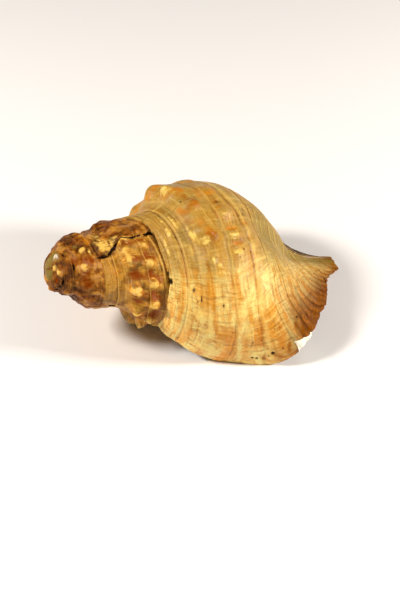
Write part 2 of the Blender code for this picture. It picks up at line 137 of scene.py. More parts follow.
# Single marks: stage, step, half length along the turn and along the outline in mm, height
# in mm, colour kind and its strength.  The dark marks mostly sit in dents: painted shade in pits,
# holes, notches and the suture gap, as well as dark spots.
MARKS = (
    # Stains and scars on the body whorl's shoulder, partly painted light: cream on the nodules is partly a
    # painted highlight, red-brown and orange on their far side partly painted shade
    (-0.337, 0.300, 4.5, 3.2, 1.6, "rust_and_shade", 0.9), (-0.264, 0.300, 3.4, 3.0, 1.6, "rust_and_shade", 0.9),
    (-0.385, 0.285, 4.5, 3.5, 0.0, "rust_and_shade", 0.6), (-0.412, 0.258, 3.6, 2.4, 1.0, "cream", 0.9),
    (-0.403, 0.310, 3.0, 3.0, 0.0, "orange", 0.9), (-0.355, 0.345, 6.0, 3.0, -0.3, "orange", 0.5),
    (-0.290, 0.275, 4.0, 3.5, 0.0, "orange", 0.8), (-0.300, 0.240, 3.0, 3.0, 0.0, "orange", 0.5),
    (-0.268, 0.215, 3.8, 0.8, 0.5, "cream", 1.0), (-0.250, 0.266, 1.2, 2.6, 0.7, "cream", 1.0),
    (-0.213, 0.280, 2.4, 0.8, 0.5, "cream", 0.9), (-0.204, 0.308, 1.6, 1.2, 0.5, "cream", 0.9),
    (-0.480, 0.285, 6.0, 4.0, 0.0, "rust_and_shade", 0.5), (-0.500, 0.180, 5.0, 4.0, 0.0, "rust_and_shade", 0.35),
    (-0.470, 0.150, 6.0, 3.0, 0.0, "orange", 0.6), (-0.431, 0.170, 2.0, 1.0, 0.0, "rust_and_shade", 0.6),
    (-0.404, 0.255, 3.0, 3.4, 2.4, "cream", 0.8), (-0.388, 0.298, 3.4, 2.6, 0.3, "orange", 1.0),
    (-0.368, 0.290, 3.4, 1.6, 0.0, "rust_and_shade", 0.8), (-0.350, 0.290, 3.6, 1.6, 0.2, "rust_and_shade", 0.8),
    (-0.327, 0.280, 2.4, 3.6, 0.6, "rust_and_shade", 0.8), (-0.262, 0.230, 4.2, 1.0, 0.8, "cream", 0.75),
    (-0.256, 0.262, 1.2, 3.0, 0.8, "cream", 0.75), (-0.270, 0.296, 3.2, 3.4, 0.6, "orange", 1.0),
    (-0.262, 0.312, 2.0, 2.8, 0.3, "rust_and_shade", 0.8),
    # Second and third rows: square pits and bars
    (-0.331, 0.406, 1.3, 3.2, -0.4, "dark", 0.6), (-0.331, 0.395, 3.2, 5.0, 0.0, "rust_and_shade", 0.5),
    (-0.268, 0.405, 2.0, 4.2, -0.5, "orange", 1.0), (-0.265, 0.412, 1.2, 3.0, -0.2, "rust_and_shade", 0.7),
    (-0.239, 0.415, 1.6, 4.6, -0.5, "orange", 1.0), (-0.237, 0.425, 1.0, 3.0, -0.2, "rust_and_shade", 0.7),
    (-0.304, 0.513, 2.0, 1.3, -0.5, "dark", 0.6), (-0.289, 0.498, 1.6, 1.1, -0.4, "dark", 0.55),
    (-0.310, 0.490, 2.0, 4.0, 0.0, "rust_and_shade", 0.4), (-0.270, 0.490, 2.4, 3.2, -0.4, "rust_and_shade", 0.7),
    (-0.236, 0.496, 2.0, 3.2, -0.4, "rust_and_shade", 0.6), (-0.175, 0.500, 2.0, 2.6, -0.3, "rust_and_shade", 0.5),
    (-0.296, 0.400, 3.0, 5.0, 0.2, "cream", 0.35), (-0.252, 0.405, 2.4, 5.0, 0.3, "cream", 0.6),
    (-0.222, 0.415, 2.6, 5.0, 0.3, "cream", 0.55), (-0.190, 0.410, 3.0, 5.0, 0.2, "cream", 0.4),
    (-0.255, 0.495, 2.0, 3.0, 0.2, "cream", 0.35), (-0.215, 0.500, 2.6, 3.0, 0.2, "cream", 0.35),
    # Creamy streaks and specks near the suture
    (-0.292, 0.105, 4.0, 1.0, 0.3, "cream", 0.9), (-0.318, 0.160, 6.5, 0.9, 0.3, "cream", 0.8),
    (-0.276, 0.205, 6.0, 0.8, 0.2, "cream", 0.6), (-0.335, 0.110, 5.0, 0.8, 0.2, "cream", 0.6),
    (-0.255, 0.060, 9.0, 0.9, 0.2, "cream", 0.5), (-0.357, 0.257, 0.9, 0.9, -0.4, "dark", 0.9),
    (-0.154, 0.161, 1.8, 1.1, -0.4, "dark", 0.75), (-0.138, 0.197, 2.2, 0.6, -0.4, "dark", 0.9),
    (-0.133, 0.299, 1.3, 0.8, -0.3, "dark", 0.8), (-0.215, 0.098, 1.4, 0.6, -0.3, "dark", 0.6),
    (-0.166, 0.040, 2.4, 1.1, -0.6, "dark", 1.0), (-0.190, 0.030, 3.0, 0.5, 0.0, "dark", 0.8),
    (-0.190, 0.130, 1.2, 0.6, -0.3, "dark", 0.5), (-0.240, 0.132, 2.0, 0.5, -0.3, "dark", 0.6),
    # Lower body whorl and lip
    (-0.012, 0.330, 1.6, 16.0, 0.0, "orange", 0.7), (-0.030, 0.250, 2.0, 14.0, 0.0, "cream", 0.6),
    (-0.006, 0.400, 1.2, 12.0, 0.0, "rust_and_shade", 0.5), (-0.020, 0.180, 1.6, 9.0, 0.0, "rust_and_shade", 0.5),
    (-0.070, 0.330, 9.0, 7.0, 0.0, "orange", 0.7), (-0.165, 0.355, 8.0, 5.0, 0.0, "orange", 0.35),
    (-0.130, 0.360, 6.0, 5.0, 0.0, "orange", 0.4), (-0.070, 0.437, 14.0, 3.0, 0.0, "orange", 0.9),
    (-0.065, 0.440, 6.0, 1.6, 0.0, "rust_and_shade", 0.6), (-0.060, 0.510, 12.0, 3.0, 0.0, "orange", 0.9),
    (-0.072, 0.505, 3.5, 1.5, 0.0, "rust_and_shade", 0.7), (-0.033, 0.540, 5.0, 1.6, -0.3, "rust_and_shade", 0.9),
    (-0.060, 0.575, 6.0, 1.8, -0.4, "rust_and_shade", 0.9), (-0.045, 0.610, 5.0, 3.0, -0.3, "rust_and_shade", 0.8),
    (-0.040, 0.655, 3.0, 5.0, -0.2, "rust_and_shade", 0.9), (-0.120, 0.385, 8.0, 3.5, 0.2, "cream", 0.5),
    (-0.080, 0.400, 9.0, 3.0, 0.2, "cream", 0.55), (-0.120, 0.130, 8.0, 3.5, 0.2, "cream", 0.5),
    (-0.105, 0.190, 7.0, 3.0, 0.2, "cream", 0.5), (-0.075, 0.240, 10.0, 4.0, 0.2, "cream", 0.45),
    (-0.045, 0.300, 12.0, 3.0, 0.1, "cream", 0.5), (-0.060, 0.120, 10.0, 4.0, 0.0, "cream", 0.3),
    (-0.029, 0.485, 1.5, 1.5, -0.9, "dark", 1.0), (-0.022, 0.440, 1.2, 1.2, -0.8, "dark", 1.0),
    (-0.024, 0.426, 1.2, 1.1, -0.8, "dark", 0.95), (-0.019, 0.462, 1.8, 2.2, -0.4, "rust_and_shade", 0.9),
    (-0.016, 0.520, 1.6, 4.0, -0.2, "rust_and_shade", 0.9), (-0.012, 0.480, 1.4, 5.0, -0.2, "orange", 0.9),
    (-0.071, 0.587, 0.9, 0.9, -0.5, "dark", 0.95), (-0.065, 0.654, 0.9, 0.9, -0.5, "dark", 0.8),
    # Canal
    (-0.170, 0.985, 13.0, 4.0, 0.0, "rust_and_shade", 1.0), (-0.110, 0.860, 5.0, 1.0, -0.5, "dark", 0.5),
    (-0.076, 0.895, 3.0, 1.6, -0.8, "dark", 0.7), (-0.085, 0.840, 5.0, 1.0, -0.5, "dark", 0.5),
    (-0.055, 0.800, 5.0, 3.0, 0.0, "rust_and_shade", 0.8), (-0.050, 0.730, 4.0, 5.0, -0.3, "rust_and_shade", 0.9),
    (-0.300, 0.900, 30.0, 2.5, 0.0, "rust_and_shade", 0.4),
    # Whorl below the old lip: cream on the knobs is partly a painted highlight, red-brown between them partly
    # painted shade
    (-1.186, 0.388, 3.0, 3.6, -0.6, "rust_and_shade", 1.0), (-1.126, 0.404, 3.0, 3.8, -0.6, "rust_and_shade", 1.0),
    (-1.245, 0.398, 2.6, 2.6, -0.5, "rust_and_shade", 0.9), (-1.062, 0.430, 2.8, 3.6, -0.4, "rust_and_shade", 1.0),
    (-1.170, 0.440, 4.0, 3.6, 0.0, "rust_and_shade", 0.8), (-1.182, 0.272, 3.0, 4.2, -0.5, "rust_and_shade", 0.9),
    (-1.088, 0.290, 2.8, 4.4, -0.6, "rust_and_shade", 1.0), (-1.015, 0.320, 3.0, 4.6, -0.5, "rust_and_shade", 1.0),
    (-1.200, 0.150, 9.0, 4.0, 0.0, "orange", 0.5), (-1.120, 0.150, 12.0, 3.0, 0.0, "rust_and_shade", 0.25),
    (-1.150, 0.210, 7.0, 2.0, 0.0, "rust_and_shade", 0.35), (-1.240, 0.262, 4.0, 2.0, 0.8, "cream", 0.9),
    (-1.268, 0.262, 2.0, 3.0, 0.5, "cream", 0.6), (-1.131, 0.272, 3.0, 3.6, 0.6, "cream", 0.7),
    (-1.052, 0.288, 3.0, 3.8, 0.6, "cream", 0.7), (-1.216, 0.390, 2.6, 2.4, 0.9, "cream", 1.0),
    (-1.154, 0.396, 2.2, 2.8, 0.9, "cream", 1.0), (-1.095, 0.400, 2.4, 3.0, 0.6, "cream", 0.6),
    (-1.268, 0.398, 2.0, 2.4, 0.5, "cream", 0.5), (-1.155, 0.448, 1.6, 1.4, 0.4, "cream", 0.5),
    (-1.285, 0.440, 2.6, 1.4, 0.4, "cream", 0.4), (-1.030, 0.405, 2.4, 3.0, 0.5, "cream", 0.5),
    # Old lip: pale patch, dark crest
    (-1.305, 0.100, 5.5, 4.2, 0.3, "cream", 1.0), (-1.300, 0.190, 3.0, 3.0, 0.2, "cream", 0.8),
    (-1.335, 0.140, 3.5, 3.0, 0.2, "orange", 1.0), (-1.320, 0.235, 2.0, 2.4, 0.5, "cream", 0.8),
    (-1.400, 0.420, 8.0, 5.0, -0.3, "dark", 0.35), (-1.360, 0.300, 6.0, 4.0, -0.3, "dark", 0.25),
    # Worn upper whorls
    (-2.300, 0.362, 2.0, 1.8, 1.2, "cream", 0.9), (-2.212, 0.322, 2.4, 2.0, 1.4, "cream", 0.9),
    (-2.280, 0.430, 2.4, 1.0, 0.6, "cream", 0.8), (-2.235, 0.400, 3.0, 2.2, 0.3, "rust_and_shade", 1.0),
    (-2.150, 0.300, 4.0, 2.0, 0.3, "rust_and_shade", 0.8), (-2.255, 0.310, 1.6, 1.4, -0.6, "rust_and_shade", 0.8),
    (-2.341, 0.300, 2.2, 2.0, -0.8, "moss_and_shade", 0.8), (-2.214, 0.175, 2.6, 0.7, -1.4, "dark", 1.0),
    (-2.310, 0.080, 2.0, 1.2, -0.9, "dark", 0.8), (-2.450, 0.480, 3.0, 1.6, -0.8, "dark", 0.8),
    (-2.100, 0.130, 5.0, 3.0, -0.3, "dark", 0.45), (-2.090, 0.360, 4.0, 2.5, -0.4, "dark", 0.5),
    # painted highlights: the two white glints on the worn apex
    (-3.337, 0.330, 0.8, 1.6, 1.4, "pale_and_glint", 1.0), (-3.325, 0.375, 1.4, 0.7, 0.6, "pale_and_glint", 0.8),
    (-2.345, 0.490, 4.0, 3.0, 0.3, "orange", 0.9), (-1.372, 0.113, 3.0, 3.0, 0.2, "cream", 0.5),
    (-2.235, 0.350, 4.5, 4.0, 0.2, "rust_and_shade", 0.9), (-2.195, 0.320, 3.5, 3.0, 0.5, "rust_and_shade", 0.9),
    (-2.130, 0.330, 5.0, 4.0, 0.0, "rust_and_shade", 0.8), (-2.242, 0.208, 3.0, 3.0, 0.4, "rust_and_shade", 0.7),
    (-1.253, 0.045, 0.8, 4.6, -0.6, "dark", 1.0), (-2.960, 0.360, 2.2, 2.2, -2.2, "dark", 1.0),
    (-3.225, 0.150, 1.7, 2.2, 1.6, "cream", 1.0), (-3.180, 0.290, 2.0, 1.6, 1.0, "cream", 0.7),
    (-3.078, 0.240, 2.2, 1.2, -0.8, "rust_and_shade", 1.0), (-3.090, 0.480, 3.4, 1.2, -1.6, "dark", 1.0),
    (-3.030, 0.400, 2.0, 1.6, -1.2, "dark", 0.9), (-2.900, 0.300, 2.4, 2.0, 0.8, "orange", 0.8),
    (-2.800, 0.500, 2.4, 2.2, 0.8, "rust_and_shade", 0.6),
)

# Wall, aperture
WALL = 3.6 * MM
LIP_WALL = 2.2 * MM
CALLUS = 2.2 * MM
CAVITY_START = -0.97
COLUMELLA_RADIUS = 9.0 * MM
JOINT_STAGE = -0.36             # the body and lip skins meet here
TOOTH_HEIGHT = 0.7 * MM         # low teeth inside the lip
TOOTH_SPACING = 0.045           # in steps, for a pair of them
RIM_ROUNDING = 2.6 * MM         # the lip's edge is rounded out by no more than this

# Rings and points of the skins
SPIRE_GRID, SPIRE_END = (700, 116), 0.66
BODY_GRID = (400, 205)
LIP_GRID = (205, 280)
BODY_HOLLOW_RINGS = 62
LIP_HOLLOW_RINGS = 60
RIM_RINGS = 5
BACK_POINTS = 5                 # on the columella and the older whorl inside the hollow

# View
VIEW_AZIMUTH = math.radians(-24.4)
VIEW_ELEVATION = math.radians(47.6)
VIEW_ROLL = math.radians(2.82)
VIEW_DISTANCE = 1.12
SENSOR = 36.0
LENS = 159.75
AIM = (-1.7 * MM, -1.9 * MM, 13.3 * MM)

# Light: name, azimuth and elevation in degrees, and watts of each lamp
LAMPS = (("left light", -99.0, 45.0, 8.3), ("right light", 62.0, 26.0, 9.3))
LAMP_DISTANCE = 0.9
LAMP_SIZE = 0.14
LAMP_TINT = "#fff7ee"
LAMP_AIM = (0.0, 0.0, 30.0 * MM)
SURROUNDING_LIGHT = 0.07

SPIRE = np.array(SPIRE_OUTLINE) * MM
MIDDLE = np.array(MIDDLE_OUTLINE) * MM
LIP = np.array(LIP_OUTLINE) * MM


# ---------------------------------------------------------------- small helpers

def ramp(low, high, value):
    """Smooth step from 0 at low to 1 at high."""
    x = np.clip((value - low) / (high - low), 0.0, 1.0)
    return x * x * (3.0 - 2.0 * x)


def bell(value, centre, width):
    """Bell curve of height 1: exp of minus the squared distance in widths."""
    return np.exp(-((value - centre) / width) ** 2)


def hashed(key):
    """Repeatable values from 0 to 1 for whole numbers, by mixing their bits."""
    key = key.astype(np.int64) & 0x7FFFFFFF
    key = ((key ^ (key >> 15)) * 0x2C1B3C6D) & 0x7FFFFFFF
    key = ((key ^ (key >> 12)) * 0x297A2D39) & 0x7FFFFFFF
    return ((key ^ (key >> 15)) & 0xFFFF) / 65535.0


def noise(coordinates, seed):
    """Smooth noise from -1 to 1: hashed lattice values blended by smooth steps.

    coordinates holds one array for each axis, in lattice cells.
    """
    cells = [np.floor(axis).astype(np.int64) for axis in coordinates]
    parts = [axis - cell for axis, cell in zip(coordinates, cells)]
    parts = [part * part * (3.0 - 2.0 * part) for part in parts]
    total = 0.0
    for corner in np.ndindex(*(2,) * len(cells)):
        key = seed * 7919
        weight = 1.0
        for side, cell, part, prime in zip(corner, cells, parts, (73856093, 19349663, 83492791)):
            key = key + (cell + side) * prime
            weight = weight * (part if side else 1.0 - part)
        total = total + weight * (2.0 * hashed(key) - 1.0)
    return total


def colour(text):
    """Linear RGBA of an sRGB hex colour."""
    parts = np.array([int(text[place:place + 2], 16) for place in (1, 3, 5)]) / 255.0
    linear = np.where(parts <= 0.04045, parts / 12.92, ((parts + 0.055) / 1.055) ** 2.4)
    return (*linear.tolist(), 1.0)


# Settings that nodes share: smooth steps, mixes of two colours, and arithmetic
SMOOTH = {"interpolation_type": "SMOOTHSTEP"}
TINTED = {"out": 2, "data_type": "RGBA"}        # the share is socket 0, the colours are 6 and 7
SCALED = {"operation": "MULTIPLY_ADD"}
PRODUCT = {"operation": "MULTIPLY"}
DIFFERENCE = {"operation": "SUBTRACT"}
SUM = {"operation": "ADD"}


def add(tree, kind, inputs, out=0, **settings):
    """Add a node with its settings, fill its sockets with values or links, return one output.

    inputs names the sockets, or gives the values of the first ones in their order.
    """
    item = tree.nodes.new("ShaderNode" + kind)
    for name, value in settings.items():
        setattr(item, name, value)
    for socket, value in inputs.items() if isinstance(inputs, dict) else enumerate(inputs):
        if isinstance(value, bpy.types.NodeSocket):
            tree.links.new(value, item.inputs[socket])
        else:
            item.inputs[socket].default_value = value
    return item.outputs[out]


# ---------------------------------------------------------------- the spiral

def control(stage):
    """Points that the outline of each stage runs through, for a flat array of stages.

    Up to the middle stage the spire's shape turns into the middle one while it grows by
    fixed factors each turn.  From there the suture keeps that law, and the base and canal
    keep their size until the lip opens.
    """
    turns = stage[:, None, None]
    rates = np.array([RADIUS_GROWTH, LENGTH_GROWTH])
    vertex = np.array([0.0, APEX_OFFSET])
    scale = rates ** turns
    middle_scale = rates ** MIDDLE_STAGE
    share = ramp(-1.0, MIDDLE_STAGE, turns)
    early = vertex + ((1.0 - share) * SPIRE + share * (MIDDLE - vertex) / middle_scale) * scale
    law = (scale - middle_scale) / (1.0 - middle_scale)
    low = ramp(0.12, 0.60, np.linspace(0.0, 1.0, len(LIP)))[:, None]
    share = (1.0 - low) * law + low * ramp(LIP_FLARE_START, 0.0, turns)
    late = (1.0 - share) * MIDDLE + share * LIP
    return np.where(turns <= MIDDLE_STAGE, early, late)


def outline(stage, step):
    """Radius, distance along the axis and outward normal at each pair of stage and step.

    A cubic runs through the control points of the stage; its slope gives the normal.
    """
    shape = control(stage.ravel())
    slope = np.gradient(shape, axis=1)
    count = shape.shape[1]
    place = step.ravel() * (count - 1)
    low = np.clip(np.floor(place).astype(int), 0, count - 2)
    x = (place - low)[:, None]
    row = np.arange(len(low))
    start, end = shape[row, low], shape[row, low + 1]
    leave, arrive = slope[row, low], slope[row, low + 1]
    curve = (2 * x ** 3 - 3 * x ** 2 + 1) * start + (x ** 3 - 2 * x ** 2 + x) * leave
    curve = curve + (3 * x ** 2 - 2 * x ** 3) * end + (x ** 3 - x ** 2) * arrive
    along_curve = (6 * x ** 2 - 6 * x) * (start - end) + (3 * x ** 2 - 4 * x + 1) * leave
    along_curve = along_curve + (3 * x ** 2 - 2 * x) * arrive
    along_curve = along_curve / np.linalg.norm(along_curve, axis=1, keepdims=True)
    parts = (curve[:, 0], curve[:, 1], along_curve[:, 1], -along_curve[:, 0])
    return tuple(part.reshape(stage.shape) for part in parts)


def lip_stage(stage, step):
    """Stage at which a point really stands: the front half of the lip is held back."""
    last_half = np.clip((stage + 0.5) / 0.5, 0.0, None)
    return stage - LIP_RECESS * ramp(0.35, 0.60, step) * last_half


def flare(stage, step):
    """Share by which the last sixth of a turn opens outwards."""
    return 1.0 + LIP_FLARE * ramp(0.35, 0.6, step) * ramp(1.02, 0.85, step) * ramp(-0.16, 0.0, stage)


def position(radius, along, stage, origin):
    """Points of the half plane of each stage: turned about the axis, then pitched."""
    turn = LIP_ANGLE - 2.0 * math.pi * stage
    side = radius * np.cos(turn)
    rise = radius * np.sin(turn)
    x = along * math.cos(AXIS_PITCH) + rise * math.sin(AXIS_PITCH)
    z = rise * math.cos(AXIS_PITCH) - along * math.sin(AXIS_PITCH)
    return np.stack([x, -side, z], axis=-1) + origin


def worn(radius, along, stage):
    """Pull points beyond the apex dome back onto it; older stages lie a little deeper."""
    depth = 1.0 - 0.035 * np.clip(-2.3 - stage, 0.0, None)
    reach = np.hypot(radius / (DOME_RADIUS * depth), (DOME_PLACE - along) / (DOME_LENGTH * depth))
    hold = np.where(along < DOME_PLACE, (1.0 + reach ** 10) ** -0.1, 1.0)
    hold = 1.0 + (hold - 1.0) * ramp(0.0, 3.0 * MM, DOME_PLACE - along)
    return radius * hold, DOME_PLACE + (along - DOME_PLACE) * hold


def varix_edge(step):
    """Stage of the old lip's ragged edge, which slants back from the suture to the shoulder."""
    jag = 0.0040 * noise((step / 0.045, step * 0.0), 9) + 0.0018 * noise((step / 0.014, step * 0.0), 10)
    return VARIX_STAGE + jag - 0.045 * ramp(0.03, 0.28, step) - 0.03 * step - 0.006 * ramp(0.34, 0.50, step)


# ---------------------------------------------------------------- fields on the skin

def groove_lane(stage, step):
    """Step at which the groove through each point would lie if it ran evenly round the whorl.

    Grooves swing towards the canal before the lip, then fan out over the lip.
    """
    swing = np.interp(step, *GROOVE_SWING) * ramp(-0.09, -0.20, stage)
    fan = np.interp(step, *GROOVE_FAN) * np.clip((stage + 0.11) / 0.07, 0.0, 1.6) ** 1.3
    drift = 0.20 * np.clip(stage + 0.22, -0.16, 0.0) * ramp(0.36, 0.44, step) * ramp(-0.9, -0.6, stage)
    wobble = 0.0020 * noise((stage / 0.045, step / 0.07), 41)
    return step - swing - fan - drift + wobble


def groove_count(stage, step):
    """Running number of the spiral grooves, whole on each groove."""
    return np.interp(groove_lane(stage, step), GROOVES, np.arange(len(GROOVES)))


def groove_depth(count):
    """How deep the nearest groove is cut, from 0 to 1."""
    return np.array(GROOVE_DEPTHS)[np.clip(np.rint(count).astype(int), 0, len(GROOVES) - 1)]


def nodules(stage, step):
    """Two rows of bumps, each from 0 to 1: bells along the outline, peaks round the turn."""
    rows = []
    anchors = ((SHOULDER_ROW, SHOULDER_STAGES, SHOULDER_NUMBERS), (SECOND_ROW, SECOND_STAGES, SECOND_NUMBERS))
    for row, (centre, stages, numbers) in enumerate(anchors):
        number = np.interp(stage, stages, numbers)
        vary = hashed(np.rint(number) * 3 + row + 11)
        centre = centre + 0.016 * (vary - 0.5) + (1 - row) * np.interp(stage, *SHOULDER_DRIFT)
        peak = (0.5 + 0.5 * np.cos(2.0 * math.pi * number)) ** 1.6
        rows.append((0.75 + 0.40 * vary) * peak * bell(step, centre, 0.045))
    return rows


def varix(stage, step):
    """Swelling of the old lip, from 0 to 1 at its edge."""
    return ramp(-0.10, -0.004, stage - varix_edge(step)) * ramp(0.0, 0.05, step)


def before_varix(stage, step):
    """1 on the shell older than the old lip's edge, 0 on the newer shell."""
    return 1.0 - ramp(-0.004, 0.002, stage - varix_edge(step))


def upper(stage):
    """1 on the most worn whorls, at and above the third."""
    return 1.0 - ramp(-1.98, -1.55, stage)


def crevices(place):
    """Sharp branching cracks of the worn whorls, from 0 to 1: where smooth noise crosses zero."""
    x, y, z = np.moveaxis(place / CRACK_SPACING, -1, 0)
    bent = 0.6 * noise((x * 1.7, y * 1.7, z * 1.7), 13)
    sparse = ramp(-0.15, 0.35, noise((x * 0.8, y * 0.8, z * 0.8), 14))
    return sparse * np.clip(1.0 - np.abs(noise((x + bent, y, z - bent), 12)) / 0.15, 0.0, 1.0)


def lumps(place):
    """Uneven surface of worn shell, about -1 to 1: smooth noise of 8, 4.6 and 2.1 mm added up."""
    x, y, z = np.moveaxis(place, -1, 0)
    sizes = ((0.0080, 0.55, 1), (0.0046, 0.60, 2), (0.0021, 0.45, 3))
    return sum(share * noise((x / size, y / size, z / size), seed) for size, share, seed in sizes)


def swell(stage, step):
    """Height of the broad swellings and hollows: bells round the turn and along the outline."""
    height = np.zeros_like(stage)
    for where, row, length, width, rise in SWELLS:
        height = height + rise * MM * bell(stage, where, length) * bell(step, row, width)
    return height


def relief(stage, step, place):
    """Height of the surface above the plain whorl, in metres.

    Nodules, minus a bell along each groove, plus a rounded cord between two grooves, plus
    noise for growth bands, waves and worn lumps, minus cracks and the crease at the suture;
    all of it grows with the whorl.  The old lip's swelling and the broad swellings are added.
    """
    growth = RADIUS_GROWTH ** stage
    old = before_varix(stage, step)
    high = upper(stage)
    first, second = nodules(stage, step)
    fade = 1.0 - ramp(-0.28, -0.12, stage)
    strength = SPIRE_NODULE + (BODY_NODULE - SPIRE_NODULE) * ramp(-0.95, -0.75, stage)
    strength = strength * fade * (1.0 - 0.55 * old) * (1.0 - 0.5 * high)
    height = strength * (first + (0.85 - 0.35 * ramp(-0.95, -0.75, stage)) * second)
    count = groove_count(stage, step)
    gap = np.abs(count - np.rint(count))
    fan = ramp(0.52, 0.64, step) * ramp(-0.20, -0.08, stage)
    reach = (1.0 - 0.6 * high) * (1.0 - 0.5 * old)
    depth = groove_depth(count) * reach
    round_cord = np.sqrt(np.clip(2.0 * gap, 0.0, 1.0))
    height = height - depth * (GROOVE_CUT + GROOVE_CUT_LIP * fan) * bell(gap, 0.0, GROOVE_HALF_WIDTH)
    height = height + depth * (CORD_RISE + CORD_RISE_LIP * fan) * (round_cord - 0.7)
    lean = stage + 0.02 * step
    bands = WIDE_GROWTH_BAND * noise((lean / 0.020, step * 3.0), 5)
    bands = bands + FINE_GROWTH_BAND * noise((lean / 0.0075, step * 5.0), 6)
    height = height + bands * (0.35 + 0.65 * ramp(-0.30, -0.12, stage))
    height = height + (WAVES + WAVES_WORN * high) * noise(np.moveaxis(place / WAVE_SIZE, -1, 0), 1)
    height = height + (ROUGHNESS + ROUGHNESS_OLD * old + ROUGHNESS_WORN * high) * lumps(place)
    height = height - CRACK_DEPTH * high * crevices(place) ** 1.5
    edge = bell(step, 0.0, 0.020) * ramp(-0.75, -0.45, stage)
    height = growth * (height - SUTURE_CREASE * bell(step, 0.0, 0.016) * (1.0 - edge))
    height = height + growth * VARIX_HEIGHT * varix(stage, step) * old
    return height + swell(stage, step)


def single_marks(place, origin):
    """Height and colours of the single marks: bells of the distance from each one's middle,
    stretched along the turn and along the outline.  Dark in dents is painted shade, and the glints
    on the worn apex are painted highlights."""
    height = np.zeros(place.shape[:-1])
    mark_colours = {name: np.zeros(place.shape[:-1]) for name in ("cream", "rust_and_shade", "dark", "orange", "moss_and_shade", "pale_and_glint")}
    for stage, step, length, width, rise, kind, strength in MARKS:
        stages, steps = np.array([[stage, stage + 0.002, stage]]), np.array([[step, step, step + 0.003]])
        radius, along, _, _ = outline(stages, steps)
        middle, ahead, down = position(*worn(radius * flare(stages, steps), along, stages),
                                       lip_stage(stages, steps), origin)[0]
        ahead = (ahead - middle) / np.linalg.norm(ahead - middle)
        out = np.cross(ahead, down - middle)
        out = out / np.linalg.norm(out)
        offset = place - middle
        reach = (offset @ ahead / (length * MM)) ** 2 + (offset @ np.cross(out, ahead) / (width * MM)) ** 2
        weight = np.exp(-reach) * bell(offset @ out, 0.0, MARK_DEPTH)
        height = height + rise * MM * weight
        mark_colours[kind] = np.maximum(mark_colours[kind], strength * weight)
    return height, mark_colours


def gap_behind_varix(stage, step):
    """Depth by which the new shell starts below the old lip: the overhang, eased away ahead of it."""
    ahead = stage - varix_edge(step)
    return VARIX_OVERHANG * (1.0 - ramp(0.004, 0.013, ahead)) * ramp(-1.6, -1.0, stage)


def suture(stage):
    """Step at which the skin of each stage starts: its edge along the older whorl."""
    jag = 0.0022 * noise((stage / 0.011, stage * 0.0), 17) * ramp(-0.6, -0.4, stage)
    return np.clip(np.interp(stage, SUTURE_STAGES, SUTURE_STEPS) + jag, 0.0, 1.0)


def lip_end(step):
    """Stage of the lip's edge: pieces are broken off its front half and it is finely chipped."""
    count = groove_count(np.full_like(step, -0.02), step)
    loss = np.interp(step, *LIP_LOSS) + 0.0010 * (1.0 + np.cos(2.0 * math.pi * count)) * ramp(0.5, 0.6, step)
    chips = 0.0022 * np.abs(noise((step / 0.012, step * 0.0), 21))
    chips = chips + 0.0012 * noise((step / 0.004, step * 0.0), 22)
    return -loss - chips * ramp(0.25, 0.55, step)


# ---------------------------------------------------------------- rings of the skins

def outer_rings(stage, step, origin, newer):
    """Skin points, radii and axial distances, and mark colours, some of them painted light, for arrays of stage
    and step.

    The newer skins start below the old lip's edge.
    """
    radius, along, out_radius, out_along = outline(stage, step)
    turned = lip_stage(stage, step)
    plain = position(*worn(radius * flare(stage, step), along, stage), turned, origin)
    rise, mark_colours = single_marks(plain, origin)
    height = relief(stage, step, plain) + rise
    if newer:
        height = height - gap_behind_varix(stage, step)
    reach = worn(radius, along, stage)
    radius = (reach[0] + out_radius * height) * flare(stage, step)
    along = reach[1] + out_along * height
    return position(radius, along, turned, origin), radius, along, mark_colours, plain


def back_path(radius, along, stage, origin):
    """Inner closing of each ring: in to the axis, back along it, and out to the suture."""
    last = stage[:, -1]
    first = stage[:, 0]
    root = APEX_OFFSET + 0.220 * LENGTH_GROWTH ** (first - 1.0)
    root = np.where(first < -2.2, np.minimum(root, 28.0 * MM), root)
    under = 3.0 * MM * RADIUS_GROWTH ** first
    thin = np.full_like(root, 0.2 * MM)
    radii = (thin, thin, 0.35 * radius[:, 0], 0.75 * radius[:, 0], radius[:, 0] - under)
    level = along[:, 0]
    levels = (along[:, -1], root, 0.65 * root + 0.35 * level, 0.25 * root + 0.75 * level, level + 0.4 * under)
    stages = (last, first, first, first, first)
    points = [position(*worn(r, a, s), s, origin) for r, a, s in zip(radii, levels, stages)]
    return np.stack(points, axis=1)


def core(along):
    """Radius of the columella, which narrows towards the canal."""
    return COLUMELLA_RADIUS * (1.0 - 0.6 * ramp(0.165, 0.225, along))


